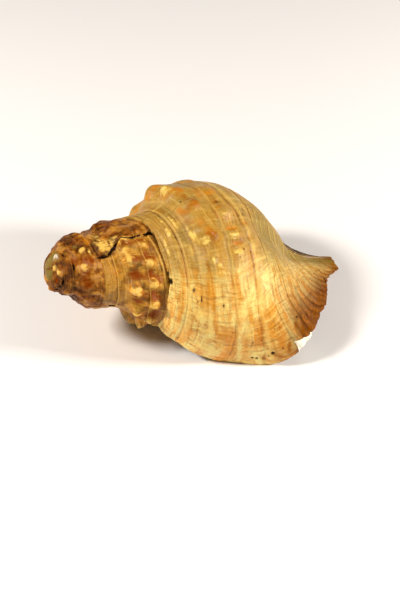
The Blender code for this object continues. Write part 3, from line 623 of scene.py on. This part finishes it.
def hollow_rings(stage, walls, origin):
    """Closed rings of the hollow: inside of the wall, then columella and older whorl.

    The wall is the outline moved inwards, as far down as there is room beside the
    columella; it has as many points as the outer skin.
    """
    many = 240
    steps = np.broadcast_to(np.linspace(0.07, 0.97, many), (len(stage), many))
    stages = stage[:, None] + lip_end(steps) * ramp(-0.15, 0.0, stage[:, None])
    thick = WALL + (LIP_WALL - WALL) * ramp(-0.2, 0.0, stages) - swell(stages, steps)
    radius, along, out_radius, out_along = outline(stages, steps)
    radius = radius * flare(stages, steps) - out_radius * thick
    along = along - out_along * thick
    room = many - 1 - np.argmax((radius > core(along) + 2.5 * MM)[:, ::-1], axis=1)
    place = np.linspace(0.0, 1.0, walls)[None, :] * room[:, None]
    low = np.clip(np.floor(place).astype(int), 0, many - 2)
    part = place - low
    row = np.arange(len(stage))[:, None]
    pick = [(1.0 - part) * field[row, low] + part * field[row, low + 1] for field in (radius, along, steps)]
    teeth = TOOTH_HEIGHT * np.cos(2.0 * math.pi * pick[2] / TOOTH_SPACING) ** 2
    teeth = teeth * ramp(-0.035, -0.012, stage)[:, None]
    pick[0] = pick[0] - teeth * ramp(0.15, 0.25, pick[2]) * (1.0 - ramp(0.75, 0.85, pick[2]))
    turned = lip_stage(stage[:, None] + lip_end(pick[2]) * ramp(-0.15, 0.0, stage[:, None]), pick[2])
    wall = position(pick[0], pick[1], turned, origin)
    half = BACK_POINTS // 2
    older = np.linspace(0.86, 0.62, BACK_POINTS - half)
    older_steps = np.broadcast_to(older, (len(stage), len(older)))
    older_stages = np.broadcast_to(stage[:, None] - 1.0, older_steps.shape)
    radius, along, out_radius, out_along = outline(older_stages, older_steps)
    glaze = CALLUS + 3.0 * MM * ramp(-0.05, 0.05, stage)[:, None]
    older_radius = np.maximum(radius + out_radius * glaze, COLUMELLA_RADIUS)
    older_along = along + out_along * glaze
    share = np.linspace(0.0, 1.0, half)[None, :]
    core_along = (1.0 - share) * (pick[1][:, -1:] - 2.0 * MM) + share * (older_along[:, :1] + 1.0 * MM)
    inner = position(core(core_along), core_along, stage[:, None], origin)
    parietal = position(older_radius, older_along, stage[:, None], origin)
    return np.concatenate([wall, inner, parietal], axis=1)


# ---------------------------------------------------------------- meshes

def ring_faces(count, size, wrap):
    """Four-sided faces between neighbouring closed rings; wrap also joins the last to the first."""
    ring = np.arange(count if wrap else count - 1)[:, None]
    step = np.arange(size)[None, :]
    after = (step + 1) % size
    beyond = (ring + 1) % count
    corners = (ring * size + step, ring * size + after, beyond * size + after, beyond * size + step)
    return np.stack(np.broadcast_arrays(*corners), axis=-1).reshape(-1, 4)


def skin(name, points, wrap, fields, materials, lined):
    """A closed mesh from an array of rings x points x 3.

    Unless it wraps, each end ring is closed by a fan of triangles round its middle.
    fields holds arrays of rings x points x channels that become attributes; the rings
    from lined onwards take the second material.
    """
    count, size = points.shape[:2]
    flat = points.reshape(-1, 3)
    quads = ring_faces(count, size, wrap)
    faces = quads.tolist()
    extra = []
    if not wrap:
        step = np.arange(size)
        after = (step + 1) % size
        extra = [points[0].mean(axis=0), points[-1].mean(axis=0)]
        last = (count - 1) * size
        faces += np.stack([after, step, np.full(size, len(flat))], axis=1).tolist()
        faces += np.stack([last + step, last + after, np.full(size, len(flat) + 1)], axis=1).tolist()
        flat = np.vstack([flat, extra])
    mesh = bpy.data.meshes.new(name)
    mesh.from_pydata(flat.tolist(), [], faces)
    a, b, c = flat[quads[:, 0]], flat[quads[:, 1]], flat[quads[:, 2]]
    if np.einsum("ij,ij->i", a, np.cross(b, c)).sum() < 0.0:
        mesh.flip_normals()
    for field, values in fields.items():
        values = values.reshape(-1, values.shape[-1])
        if len(extra):
            values = np.vstack([values, values[:1], values[-1:]])
        if field == "growth":
            layer = mesh.uv_layers.new(name=field)
            corner = np.zeros(len(mesh.loops), dtype=np.int32)
            mesh.loops.foreach_get("vertex_index", corner)
            layer.uv.foreach_set("vector", values[corner].astype(np.float32).ravel())
        else:
            layer = mesh.attributes.new(field, "FLOAT_COLOR", "POINT")
            layer.data.foreach_set("color", values.astype(np.float32).ravel())
    for material in materials:
        mesh.materials.append(material)
    slots = np.zeros(len(faces), dtype=np.int32)
    slots[lined * size:len(quads)] = len(materials) - 1
    mesh.polygons.foreach_set("material_index", slots)
    mesh.shade_smooth()
    mesh.set_sharp_from_angle(angle=math.radians(70.0))
    mesh.validate()
    item = bpy.data.objects.new(name, mesh)
    bpy.context.scene.collection.objects.link(item)
    return item


def fields(stage, step, mark_colours, place):
    """Colour masks and growth coordinates for each point of a skin.

    Cream lies on the nodules and red-brown midway between them, in patches: partly colour and partly
    a painted highlight on the knobs and painted shade between them.  Dark is painted shade in cracks
    and in the gap under the old lip.  Each mask is the largest of its field and its single marks.
    """
    first, second = nodules(stage, step)
    spire = 1.0 - ramp(-0.95, -0.80, stage)
    old, high = before_varix(stage, step), upper(stage)
    count = groove_count(stage, step)
    patchy = 0.5 + 0.5 * noise((stage / 0.012, step / 0.03), 31)
    # cream on the nodules: partly colour, partly a painted highlight on the knobs
    cream = (first + second) * (0.15 + 0.62 * spire) * (1.0 - ramp(-0.34, -0.18, stage)) * (1.0 - 0.8 * old)
    cream = cream * (0.15 + 1.25 * patchy)
    cream = np.maximum(mark_colours["cream"], cream)
    # red-brown bars between the knobs: partly stain, partly painted shade between them
    number = np.interp(stage, SECOND_STAGES, SECOND_NUMBERS)
    bars = (0.5 - 0.5 * np.cos(2.0 * math.pi * (number - 0.2))) ** 2.0
    rows = 0.95 * bell(step, 0.29, 0.060) + bell(step, 0.410, 0.050)
    rust_and_shade = np.maximum(mark_colours["rust_and_shade"], bars * rows * spire * (1.0 - old))
    rust_and_shade = np.maximum(rust_and_shade, 0.5 * ramp(-0.085, -0.035, stage) * ramp(0.58, 0.70, step))
    # painted shade: an orange ring round each nodule sets it off, added to the orange marks
    halo = bell(np.maximum(first, second), 0.42, 0.22) * (1.0 - ramp(-0.34, -0.22, stage)) * (1.0 - old)
    orange = np.maximum(mark_colours["orange"], halo * (0.35 + 0.65 * patchy))
    cracks = crevices(place)
    # painted shade: dark in the gap under the old lip's overhang and in the worn whorls' cracks
    dark = ramp(0.9 * MM, 2.2 * MM, gap_behind_varix(stage, step)) * (1.0 - old)
    dark = np.maximum(dark, 0.5 * high * cracks)
    dark = np.maximum(dark, mark_colours["dark"])
    fan = ramp(0.47, 0.62, step) * ramp(-0.17, -0.06, stage)
    gold = ramp(-0.24, -0.13, stage)
    fan = np.maximum(fan, 0.75 * ramp(0.86, 0.97, step) * ramp(-0.6, -0.3, stage))
    age = np.maximum(0.5 * spire, old)
    moss_and_shade = np.maximum(mark_colours["moss_and_shade"], 0.9 * ramp(-3.22, -3.39, stage))
    # partly painted shade: the crease towards the canal gets an olive tint that also darkens it as shade
    moss_and_shade = np.maximum(moss_and_shade, 0.80 * bell(stage, -0.25, 0.13) * ramp(0.46, 0.62, step))
    lump = 0.5 + 0.5 * lumps(place)
    depth = groove_depth(count) * (1.0 - 0.6 * old)
    # The blank patch on the lip: distance in mm inside its two straight sides, 0.5 on them
    across, down = (stage - PATCH_CORNER[0]) * 400.0, (step - PATCH_CORNER[1]) * 170.0
    inside = np.minimum(0.987 * across - 0.158 * down, 0.825 * down - 0.565 * across)
    patch = np.clip(0.5 + inside / 4.0, 0.0, 1.0) * (stage > -0.08)
    marks = np.stack([cream, rust_and_shade, dark, orange], axis=-1)
    zones = np.stack([age, fan, gold, depth], axis=-1)
    extras = np.stack([patch, lump, mark_colours["pale_and_glint"], moss_and_shade], axis=-1)
    growth = np.stack([stage * 100.0, count], axis=-1)
    coats = {"marks": marks, "zones": zones, "extras": extras}
    coats = {name: np.clip(values, 0.0, 1.0) for name, values in coats.items()}
    return {**coats, "growth": growth}


def padded(values, extra):
    """Fields of the skin carried on over the closing points of each ring."""
    last = np.repeat(values[:, :1], extra, axis=1)
    return np.concatenate([values, last], axis=1)


def shaded(coats, count, stage):
    """Painted shade in the gap under each skin's edge along the suture: its closing points are coloured dark.

    The worn tip is mossy instead, and the columella beside the aperture pale.
    """
    late = ramp(-0.45, -0.36, stage[:, 0])
    # painted shade: the closing points, seen in the gap along the suture, are coloured dark
    coats["marks"][:, count:, 2] = 0.9 * ramp(-2.3, -1.9, stage[:, :1])
    coats["marks"][:, count:count + 3, 2] *= 1.0 - late[:, None]
    coats["extras"][:, count:count + 3, 2] = 0.8 * late[:, None]
    coats["extras"][:, count:, 3] = 0.9 * ramp(-2.1, -2.4, stage[:, :1])
    return coats


def repeated(values, rings):
    """Fields of the last ring carried on over further rings."""
    return np.concatenate([values, np.repeat(values[-1:], rings, axis=0)], axis=0)


def ring_steps(count, end):
    """Steps from the suture to the end, closer together at the suture's edge."""
    return np.concatenate([np.linspace(0.0, 0.03, 8)[:-1], np.linspace(0.03, end, count - 7)])


def skin_rings(stage, step, origin, newer):
    """Closed rings of a skin: the outside, then back along the axis; and its coats."""
    points, radius, along, mark_colours, plain = outer_rings(stage, step, origin, newer)
    inner = back_path(radius, along, stage, origin)
    coats = {name: padded(values, inner.shape[1]) for name, values in fields(stage, step, mark_colours, plain).items()}
    return np.concatenate([points, inner], axis=1), shaded(coats, points.shape[1], stage)


def make_spire(origin, materials):
    """The whorls older than the thickened lip, whose edge stands free over the newer shell."""
    share, step = np.meshgrid(np.linspace(0.0, 1.0, SPIRE_GRID[0]),
                              ring_steps(SPIRE_GRID[1], SPIRE_END), indexing="ij")
    stage = FIRST_STAGE + (varix_edge(step) - FIRST_STAGE) * share
    rings, coats = skin_rings(stage, step, origin, False)
    # Painted shade: the underside of the old lip's edge is painted dark, as the shade under its overhang
    under = rings[-1] + 0.03 * (rings[-1].mean(axis=0) - rings[-1])
    rings = np.concatenate([rings, under[None]], axis=0)
    coats = {name: repeated(values, 1) for name, values in coats.items()}
    coats["marks"][-1, :, 2] = 1.0
    return skin("spire", grounded(rings), False, coats, materials[:1], 0)


def grid(first, last, stages, steps):
    """Stages and steps of a skin's points between a first and a last stage of each step.

    The steps begin at the skin's edge along the suture.
    """
    share, step = np.meshgrid(np.linspace(0.0, 1.0, stages), ring_steps(steps, 1.0), indexing="ij")
    stage = first(step) + (last(step) - first(step)) * share
    edge = suture(stage)
    step = edge + (1.0 - edge) * step
    return first(step) + (last(step) - first(step)) * share, step


def rim(outer, inner):
    """Rings across an end of the wall: straight blends, pushed out to a rounded edge.

    The push is a half sine times a share of the local wall thickness, along the turn.
    """
    share = np.linspace(0.0, 1.0, RIM_RINGS + 2)[1:-1, None, None]
    width = np.linalg.norm(outer - inner, axis=-1)[None, :, None]
    ahead = -np.array([math.cos(LIP_ANGLE) * math.sin(AXIS_PITCH), math.sin(LIP_ANGLE),
                       math.cos(LIP_ANGLE) * math.cos(AXIS_PITCH)])
    push = np.clip(0.42 * width, 0.0, RIM_ROUNDING) * np.sin(math.pi * share)
    return (1.0 - share) * outer + share * inner + push * ahead


def grounded(points):
    """Flatten what would reach below the surface that the shell stands on."""
    low = points[..., 2] < 0.0
    points = points.copy()
    points[low, 2] = 0.0
    return points


def make_body(origin, materials):
    """The body whorl from under the old lip to the joint, with its hollow."""
    stage, step = grid(lambda step: varix_edge(step) - 0.012, lambda step: step * 0.0 + JOINT_STAGE, *BODY_GRID)
    outer, coats = skin_rings(stage, step, origin, True)
    inner = hollow_rings(np.linspace(JOINT_STAGE, CAVITY_START, BODY_HOLLOW_RINGS), BODY_GRID[1], origin)
    rings = np.concatenate([outer, inner], axis=0)
    coats = {name: repeated(values, len(inner)) for name, values in coats.items()}
    return skin("body_whorl", grounded(rings), False, coats, materials, len(outer))


def make_lip(origin, materials):
    """The last third of a turn with the flared lip, its rounded edge and the hollow inside."""
    stage, step = grid(lambda step: step * 0.0 + JOINT_STAGE, lip_end, *LIP_GRID)
    outer, coats = skin_rings(stage, step, origin, True)
    inner = hollow_rings(np.linspace(0.0, JOINT_STAGE, LIP_HOLLOW_RINGS), LIP_GRID[1], origin)
    edge = rim(outer[-1], inner[0])
    rings = np.concatenate([outer, edge, inner], axis=0)
    coats = {name: repeated(values, len(inner) + len(edge)) for name, values in coats.items()}
    return skin("lip", grounded(rings), True, coats, materials, len(outer) + len(edge))


# ---------------------------------------------------------------- materials

def weathered_shell():
    """Calcareous shell, dulled and stained by the sea: tan and cream, red-brown between nodules, partly painted
    shade; some pale marks are painted highlights.

    Half matt with a faint sheen, so nodules catch small soft highlights.
    """
    material = bpy.data.materials.new("weathered calcareous shell")
    material.use_nodes = True
    tree = material.node_tree
    surface = tree.nodes["Principled BSDF"]
    growth = add(tree, "UVMap", {}, uv_map="growth")
    solid = add(tree, "TexCoord", {}, out="Object")
    masks = []
    for name in ("marks", "zones", "extras"):
        source = add(tree, "Attribute", {}, attribute_name=name).node
        masks += [*add(tree, "SeparateColor", (source.outputs["Color"],)).node.outputs, source.outputs["Alpha"]]
    cream, rust_and_shade, dark, orange, age, fan, gold, depth, patch, lump, pale_and_glint, moss_and_shade = masks

    # Growth lines wander by about a unit of the growth map, which is a hundredth of a turn
    drift = add(tree, "TexNoise", {"Vector": solid, "Scale": 60.0, "Detail": 2.0}, out="Color")
    wavy = add(tree, "VectorMath", (drift, (2.2, 1.0, 0.0), growth), **SCALED)
    across = add(tree, "Mapping", {"Vector": wavy, "Scale": (1.0, 0.34, 1.0)})
    round_turn = add(tree, "Mapping", {"Vector": growth, "Scale": (0.16, 4.5, 1.0)})
    along_turn = add(tree, "Mapping", {"Vector": wavy, "Scale": (0.085, 1.0, 1.0)})
    patterns = [add(tree, "TexNoise", {"Vector": vector, "Scale": scale, "Detail": detail, "Roughness": rough})
                for vector, scale, detail, rough in (
                    (across, 1.9, 3.0, 0.62),           # lines across the turn, about 2 mm apart
                    (across, 0.38, 2.0, 0.5),           # wide ones, about 9 mm apart
                    (round_turn, 1.0, 2.0, 0.55),       # spiral threads, five between two grooves
                    (along_turn, 1.15, 3.0, 0.62),      # broad spiral bands, as wide as the cords
                    (solid, 40.0, 2.0, 0.5),            # clouds of 25 mm
                    (solid, 125.0, 4.0, 0.62),          # mottling of 8 mm
                    (solid, 330.0, 3.0, 0.6),           # blotches of 3 mm
                    (solid, 820.0, 2.0, 0.6))]          # grain of 1.2 mm
    lines, wide, threads, bands, cloud, mottle, blotch, grain = patterns
    # Pits of 0.7 mm in the middles of cells of 4 mm
    cells = add(tree, "TexVoronoi", {"Vector": solid, "Scale": 240.0, "Randomness": 1.0}, out="Distance")
    # the amber and brown grounds follow the lumps: darker where they are low and lighter on their tops, painted
    # shade and light on the worn relief, mixed with blotches
    hollow = add(tree, "Math", (lump, 0.8, -0.25), **SCALED)
    hollow = add(tree, "Math", (blotch, 0.7, hollow), **SCALED)

    # Each ground colour is clouded from one tint to another
    grounds = {}
    for name, source, start, full, first, second in (
            ("tan", mottle, 0.32, 0.68, "#94661f", "#c49a4c"),
            ("cream", bands, 0.36, 0.62, "#e49c34", "#ffeeb2"),
            ("amber", hollow, 0.34, 0.62, "#7c4209", "#c68e34"),
            ("brown", hollow, 0.32, 0.50, "#522706", "#8a5210"),
            ("rib", blotch, 0.35, 0.65, "#6a3b0a", "#905816"),
            ("furrow", blotch, 0.35, 0.65, "#3a1b02", "#5c2d05"),
            ("rust_and_shade", age, 0.1, 0.5, "#a0600c", "#7e3502"),
            ("pale", age, 0.1, 0.5, "#f2d488", "#ecc474")):
        share = add(tree, "MapRange", (source, start, full, 0.0, 1.0), **SMOOTH)
        grounds[name] = add(tree, "Mix", {0: share, 6: colour(first), 7: colour(second)}, **TINTED)
    # Olive clouds on the tan, orange mottling on the cream, tan lumps and rust on the brown
    for name, source, start, full, most, tint in (
            ("tan", cloud, 0.46, 0.66, 0.55, "#a08240"), ("cream", mottle, 0.46, 0.66, 0.7, "#d4953a"),
            ("brown", hollow, 0.52, 0.72, 1.0, "#c68a38"), ("brown", mottle, 0.50, 0.64, 0.6, "#84410a")):
        share = add(tree, "MapRange", (source, start, full, 0.0, most), **SMOOTH)
        grounds[name] = add(tree, "Mix", {0: share, 6: grounds[name], 7: colour(tint)}, **TINTED)

    # Tan above and cream below, pale wide lines on newer shell; amber spire, brown old whorls
    share = add(tree, "Math", (gold, 0.75, 0.18), **SCALED)
    base = add(tree, "Mix", {0: share, 6: grounds["tan"], 7: grounds["cream"]}, **TINTED)
    share = add(tree, "Math", (add(tree, "MapRange", (wide, 0.56, 0.72, 0.0, 0.5), **SMOOTH),
                               add(tree, "MapRange", (age, 0.4, 1.0, 1.0, 0.0), **SMOOTH)), **PRODUCT)
    base = add(tree, "Mix", {0: share, 6: base, 7: colour("#e9cd88")}, **TINTED)
    for start, full, most, name in ((0.0, 0.5, 0.72, "amber"), (0.5, 1.0, 1.0, "brown")):
        share = add(tree, "MapRange", (age, start, full, 0.0, most), **SMOOTH)
        base = add(tree, "Mix", {0: share, 6: base, 7: grounds[name]}, **TINTED)
    # Growth lines as broken dark and pale streaks, strongest below; dark specks, orange bands
    fresh = add(tree, "MapRange", (age, 0.4, 1.0, 1.0, 0.25), **SMOOTH)
    strong = add(tree, "Math", (add(tree, "Math", (gold, 0.75, 0.25), **SCALED), fresh), **PRODUCT)
    for source, start, full, tint, most, where in (
            (lines, 0.54, 0.68, "#94642a", 0.5, strong), (lines, 0.44, 0.32, "#f6e0a0", 0.6, strong),
            (threads, 0.54, 0.68, "#9a6c2c", 0.35, 1.0), (threads, 0.44, 0.32, "#e8c888", 0.35, fresh),
            (grain, 0.60, 0.70, "#7d4c14", 0.5, 1.0), (bands, 0.56, 0.70, "#b0681c", 0.45, gold)):
        share = add(tree, "Math", (source, 1.0 / (full - start), -start / (full - start)), **SCALED)
        share = add(tree, "MapRange", (share, 0.0, 1.0, 0.0, most), **SMOOTH)
        share = add(tree, "Math", (share, where), **PRODUCT)
        base = add(tree, "Mix", {0: share, 6: base, 7: colour(tint)}, **TINTED)

    # Lip and canal: rust between the ribs, tan on them. A groove lies on each whole number.
    piece = add(tree, "SeparateXYZ", {"Vector": growth}, out="Y")
    piece = add(tree, "Math", (piece,), operation="FRACT")
    centred = add(tree, "Math", (add(tree, "Math", (piece, 0.5), **DIFFERENCE),), operation="ABSOLUTE")
    gap = add(tree, "Math", (0.5, centred), **DIFFERENCE)
    valley = add(tree, "MapRange", (gap, 0.04, 0.38, 1.0, 0.0), **SMOOTH)
    share = add(tree, "Math", (valley, depth), **PRODUCT)
    ribbed = add(tree, "Mix", {0: share, 6: grounds["rib"], 7: grounds["furrow"]}, **TINTED)
    share = add(tree, "MapRange", (bands, 0.50, 0.62, 0.0, 0.7), **SMOOTH)
    share = add(tree, "Math", (share, fan), **PRODUCT)
    ribbed = add(tree, "Mix", {0: share, 6: ribbed, 7: colour("#5c2f05")}, **TINTED)
    base = add(tree, "Mix", {0: fan, 6: base, 7: ribbed}, **TINTED)
    # Lines and grain darken and lighten it all a little, and the older shell away from the lip is a little darker
    tone = add(tree, "MapRange", (lines, 0.35, 0.65, 1.05, 0.94), **SMOOTH)
    for source, start, full, least, most in ((grain, 0.28, 0.72, 0.86, 1.10), (gold, 0.0, 1.0, 0.86, 0.96)):
        share = add(tree, "MapRange", (source, start, full, least, most), **SMOOTH)
        tone = add(tree, "Math", (tone, share), **PRODUCT)
    base = add(tree, "VectorMath", {0: base, "Scale": tone}, operation="SCALE")

    # Stains with ragged edges, some partly painted light and shade: the mask plus a share of blotches and lines,
    # cut off softly
    ragged = add(tree, "Math", (add(tree, "Math", (blotch, 0.5), **DIFFERENCE),
                                add(tree, "Math", (lines, 0.5), **DIFFERENCE)), **SUM)
    rust_and_shade_tint = add(tree, "Mix", {0: fan, 6: grounds["rust_and_shade"], 7: colour("#70400c")}, **TINTED)
    for mask, tint, most, raggedness in (
            (orange, colour("#c07a1e"), 0.75, 1.2), (rust_and_shade, rust_and_shade_tint, 0.9, 1.2),
            (cream, grounds["pale"], 0.85, 1.7), (moss_and_shade, colour("#80703a"), 0.85, 0.6)):
        share = add(tree, "Math", (ragged, raggedness, mask), **SCALED)
        share = add(tree, "MapRange", (share, 0.10, 0.90, 0.0, most), **SMOOTH)
        inside = add(tree, "MapRange", (mask, 0.03, 0.35, 0.0, 1.0), **SMOOTH)
        share = add(tree, "Math", (share, inside), **PRODUCT)
        base = add(tree, "Mix", {0: share, 6: base, 7: tint}, **TINTED)

    # Grooves are painted darker, as shade in them, beside a pale ridge on one side that is a painted highlight;
    # pits and cracks are dark
    groove = add(tree, "MapRange", (gap, 0.0, 0.11, 1.0, 0.0), **SMOOTH)
    patchy = add(tree, "MapRange", (mottle, 0.36, 0.60, 0.25, 0.9), **SMOOTH)
    less = add(tree, "Math", (gold, -0.65, 1.0), **SCALED)
    less = add(tree, "Math", (fan, 0.55, less), **SCALED)
    for share in (depth, patchy, less):
        groove = add(tree, "Math", (groove, share), **PRODUCT)
    ridge = add(tree, "Math", (add(tree, "Math", (piece, 0.2), **DIFFERENCE),), operation="ABSOLUTE")
    ridge = add(tree, "MapRange", (ridge, 0.0, 0.12, 0.5, 0.0), **SMOOTH)
    for share in (depth, add(tree, "Math", (1.0, fan), **DIFFERENCE)):
        ridge = add(tree, "Math", (ridge, share), **PRODUCT)
    pit = add(tree, "Math", (add(tree, "MapRange", (cells, 0.10, 0.20, 1.0, 0.0), **SMOOTH),
                             add(tree, "MapRange", (mottle, 0.54, 0.62, 0.0, 1.0), **SMOOTH)), **PRODUCT)
    # painted shade: the dark mask, with ragged edges, paints cracks, gaps and dents near-black
    crack = add(tree, "Math", (dark, add(tree, "Math", (ragged, 0.5), **PRODUCT)), **SUM)
    crack = add(tree, "Math", (add(tree, "MapRange", (crack, 0.15, 0.85, 0.0, 1.0), **SMOOTH),
                               add(tree, "MapRange", (dark, 0.0, 0.10, 0.0, 1.0), **SMOOTH)), **PRODUCT)
    for share, tint in ((ridge, "#e4c078"), (groove, "#784a12"),
                        (add(tree, "Math", (pit, 0.85), **PRODUCT), "#56330b"), (crack, "#231204")):
        base = add(tree, "Mix", {0: share, 6: base, 7: colour(tint)}, **TINTED)
    # The whole coat has yellowed with age, and no part of it is paler than old ivory
    base = add(tree, "VectorMath", (base, (1.17, 1.10, 0.70)), **PRODUCT)
    base = add(tree, "VectorMath", (base, (0.97, 0.90, 0.8)), operation="MINIMUM")
    blank = add(tree, "MapRange", (patch, 0.47, 0.53, 0.0, 1.0), **SMOOTH)
    # painted highlights: the glints on the worn apex; also the pale columella edge
    for share, tint in ((pale_and_glint, "#fff4dc"), (blank, "#f4efd9")):
        base = add(tree, "Mix", {0: share, 6: base, 7: colour(tint)}, **TINTED)

    # Cream is smoother, the lip and the cracks are rougher
    rough = add(tree, "MapRange", (grain, 0.3, 0.7, 0.34, 0.56), **SMOOTH)
    for source, more in ((fan, 0.15), (cream, -0.20), (crack, 0.4)):
        rough = add(tree, "Math", (source, more, rough), **SCALED)
    # Old shell, lip and rust shine less, the lumps of old shell a little more
    lump_tops = add(tree, "MapRange", (lump, 0.60, 0.78, 0.0, 1.0), **SMOOTH)
    lump_tops = add(tree, "Math", (age, lump_tops), **PRODUCT)
    gloss = 0.24
    for source, more in ((age, -0.14), (fan, -0.16), (lump_tops, 0.3), (rust_and_shade, -0.10)):
        gloss = add(tree, "Math", (source, more, gloss), **SCALED)
    # Fine relief: growth lines, threads, grain and pits, a few tenths of a millimetre
    rise = add(tree, "Math", (lines, add(tree, "Math", (threads, 0.8), **PRODUCT)), **SUM)
    blotchy = add(tree, "Math", (age, 1.4, 0.5), **SCALED)
    for source, more in ((grain, 0.6), (blotch, blotchy), (groove, -0.8), (pit, -0.7)):
        rise = add(tree, "Math", (source, more, rise), **SCALED)
    bump = add(tree, "Bump", {"Height": rise, "Strength": 0.75, "Distance": 0.55 * MM})
    surface.inputs["IOR"].default_value = 1.5
    for socket, value in (("Base Color", base), ("Roughness", rough), ("Specular IOR Level", gloss),
                          ("Normal", bump)):
        tree.links.new(value, surface.inputs[socket])
    return material


def glazed_lining():
    """Porcelain-like inner layer, laid down smooth by the animal: pale cream and glossy."""
    material = bpy.data.materials.new("glazed shell lining")
    material.use_nodes = True
    tree = material.node_tree
    surface = tree.nodes["Principled BSDF"]
    solid = add(tree, "TexCoord", {}, out="Object")
    # Faint clouds of 22 mm
    cloud = add(tree, "TexNoise", {"Vector": solid, "Scale": 45.0, "Detail": 2.0, "Roughness": 0.5})
    base = add(tree, "Mix", {0: cloud, 6: colour("#e8cfa6"), 7: colour("#f6ead2")}, **TINTED)
    tree.links.new(base, surface.inputs["Base Color"])
    surface.inputs["Roughness"].default_value = 0.24
    surface.inputs["IOR"].default_value = 1.53
    return material


def studio_paper():
    """Matt white background paper."""
    material = bpy.data.materials.new("matt white paper")
    material.use_nodes = True
    surface = material.node_tree.nodes["Principled BSDF"]
    surface.inputs["Base Color"].default_value = colour("#f6f5f5")
    surface.inputs["Roughness"].default_value = 0.9
    return material


# ---------------------------------------------------------------- studio

def make_floor():
    """A wide flat sheet: four corners of a grid at height zero."""
    half = 3.0
    mesh = bpy.data.meshes.new("floor")
    mesh.from_pydata([(-half, -half, 0.0), (half, -half, 0.0), (half, half, 0.0), (-half, half, 0.0)],
                     [], [(0, 1, 2, 3)])
    mesh.materials.append(studio_paper())
    item = bpy.data.objects.new("floor", mesh)
    bpy.context.scene.collection.objects.link(item)
    return item


def view_axes(azimuth, elevation, roll):
    """Right, up and towards-the-camera directions of a view."""
    right = np.array([math.cos(azimuth), math.sin(azimuth), 0.0])
    toward = np.array([math.sin(azimuth) * math.cos(elevation), -math.cos(azimuth) * math.cos(elevation),
                       math.sin(elevation)])
    up = np.cross(toward, right)
    return math.cos(roll) * right + math.sin(roll) * up, math.cos(roll) * up - math.sin(roll) * right, toward


def aimed(item, azimuth, elevation, roll, distance, aim):
    """Place a camera or lamp so that it looks at a point."""
    right, up, toward = view_axes(azimuth, elevation, roll)
    place = np.array(aim) + toward * distance
    rows = [[right[axis], up[axis], toward[axis], place[axis]] for axis in range(3)]
    item.matrix_world = Matrix(rows + [[0.0, 0.0, 0.0, 1.0]])
    bpy.context.scene.collection.objects.link(item)


def lamp(name, azimuth, elevation, watts):
    """A square soft light aimed at the shell."""
    data = bpy.data.lights.new(name, "AREA")
    data.size = LAMP_SIZE
    data.energy = watts
    data.color = colour(LAMP_TINT)[:3]
    item = bpy.data.objects.new(name, data)
    aimed(item, math.radians(azimuth), math.radians(elevation), 0.0, LAMP_DISTANCE, LAMP_AIM)


def studio():
    """Camera, even pale surroundings and two soft lights in front."""
    scene = bpy.context.scene
    scene.view_settings.view_transform = "Standard"
    data = bpy.data.cameras.new("camera")
    data.sensor_fit = "HORIZONTAL"
    data.sensor_width = SENSOR
    data.lens = LENS
    camera = bpy.data.objects.new("camera", data)
    aimed(camera, VIEW_AZIMUTH, VIEW_ELEVATION, VIEW_ROLL, VIEW_DISTANCE, AIM)
    scene.camera = camera
    world = bpy.data.worlds.new("studio")
    world.use_nodes = True
    world.node_tree.nodes["Background"].inputs["Color"].default_value = colour("#fffdfb")
    world.node_tree.nodes["Background"].inputs["Strength"].default_value = SURROUNDING_LIGHT
    scene.world = world
    for settings in LAMPS:
        lamp(*settings)


# ---------------------------------------------------------------- build

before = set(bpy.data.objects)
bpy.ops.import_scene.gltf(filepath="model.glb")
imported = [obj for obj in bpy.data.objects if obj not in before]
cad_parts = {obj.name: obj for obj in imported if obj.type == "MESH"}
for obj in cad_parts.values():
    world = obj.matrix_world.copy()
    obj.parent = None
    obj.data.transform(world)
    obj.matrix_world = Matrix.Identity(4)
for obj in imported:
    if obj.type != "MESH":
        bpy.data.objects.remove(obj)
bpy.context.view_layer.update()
low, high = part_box(NODE)
middle = [(low[k] + high[k]) / 2.0 for k in range(3)]
spiral_origin = np.array([middle[0] - APEX_BEHIND_CENTRE, middle[1] + APEX_BESIDE_CENTRE, low[2] + APEX_HEIGHT])
coat = [weathered_shell(), glazed_lining()]
for maker in (make_spire, make_body, make_lip):
    piece = maker(spiral_origin, coat)
    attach(piece, "root")
    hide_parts(NODE)
make_floor()
studio()
